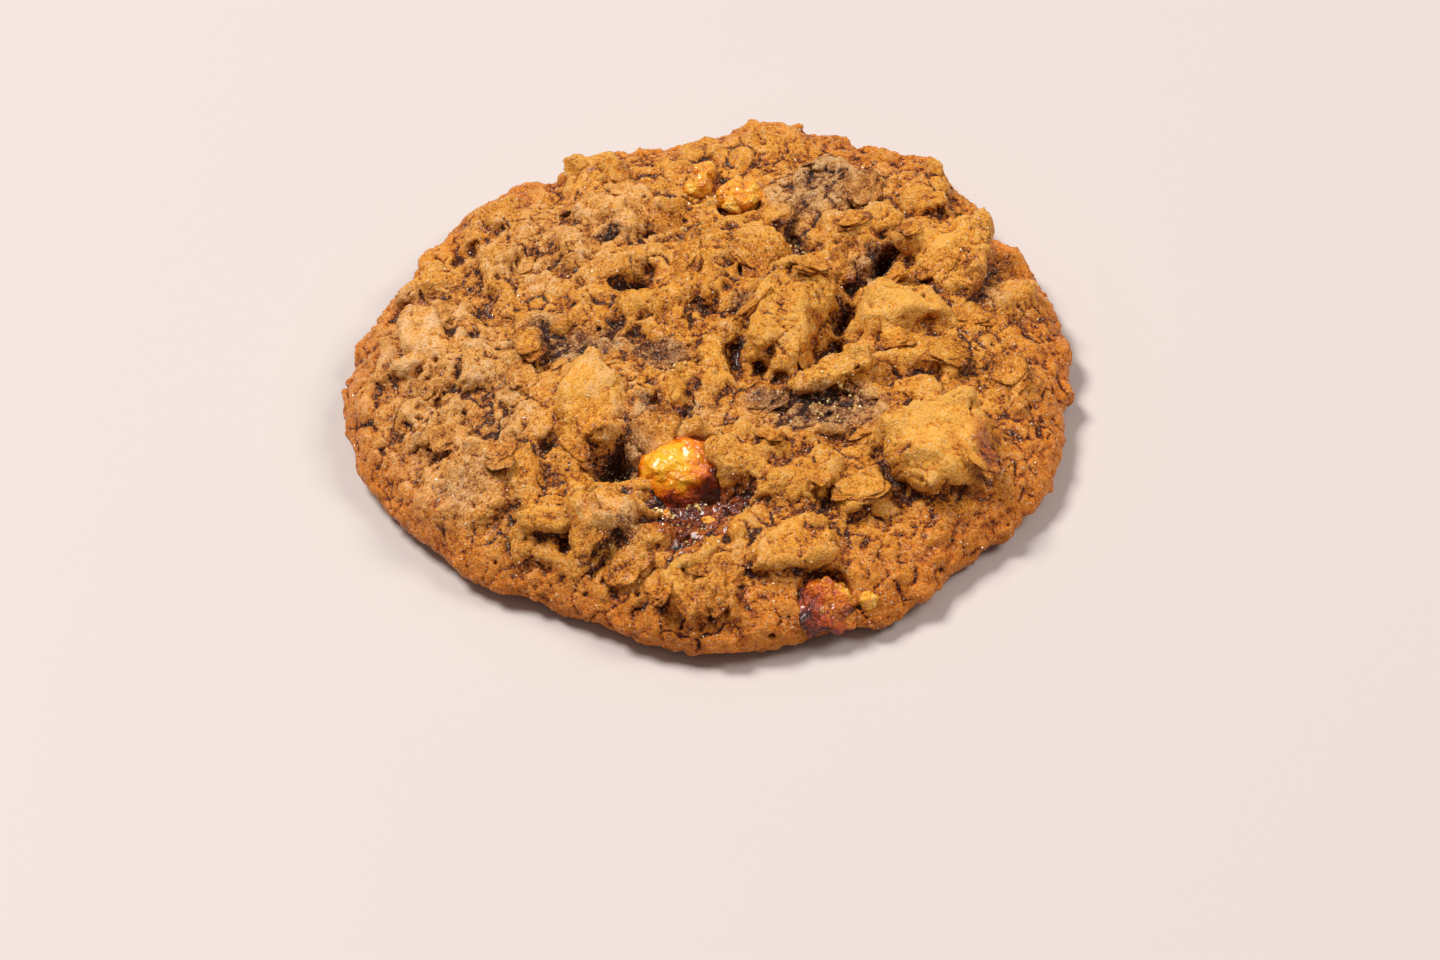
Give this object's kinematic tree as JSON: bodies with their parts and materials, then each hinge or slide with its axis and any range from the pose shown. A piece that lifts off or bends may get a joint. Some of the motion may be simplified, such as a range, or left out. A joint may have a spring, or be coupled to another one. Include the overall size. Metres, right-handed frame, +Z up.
{
  "type": "granola cookie",
  "caption": "Round flat-bottomed granola cookie: lumpy oat dough with a glazed nut, an amber sugar chunk and candied fruit set in its top.",
  "frame": {"origin": "centre of the flat underside's bounding box, on the surface that the cookie rests on", "axes": "+Z up through the cookie's thickness; +X to the right and +Y away, as seen with the glazed nut at the near side"},
  "size_m": [0.0946, 0.0956, 0.0145],
  "materials": {
    "baked_dough": "rough baked oat dough, golden tan with darker hollows",
    "caramel_glaze": "glossy caramel glaze over a nut, yellow amber to red brown",
    "amber_sugar": "glossy rough-broken amber sugar",
    "fruit_jelly": "sticky glossy red-brown candied fruit"
  },
  "bodies": {
    "root": {"cookie_dough": "baked_dough", "glazed_nut": "caramel_glaze", "amber_chunk": "amber_sugar", "candied_fruit": "fruit_jelly"}
  },
  "joints": []
}
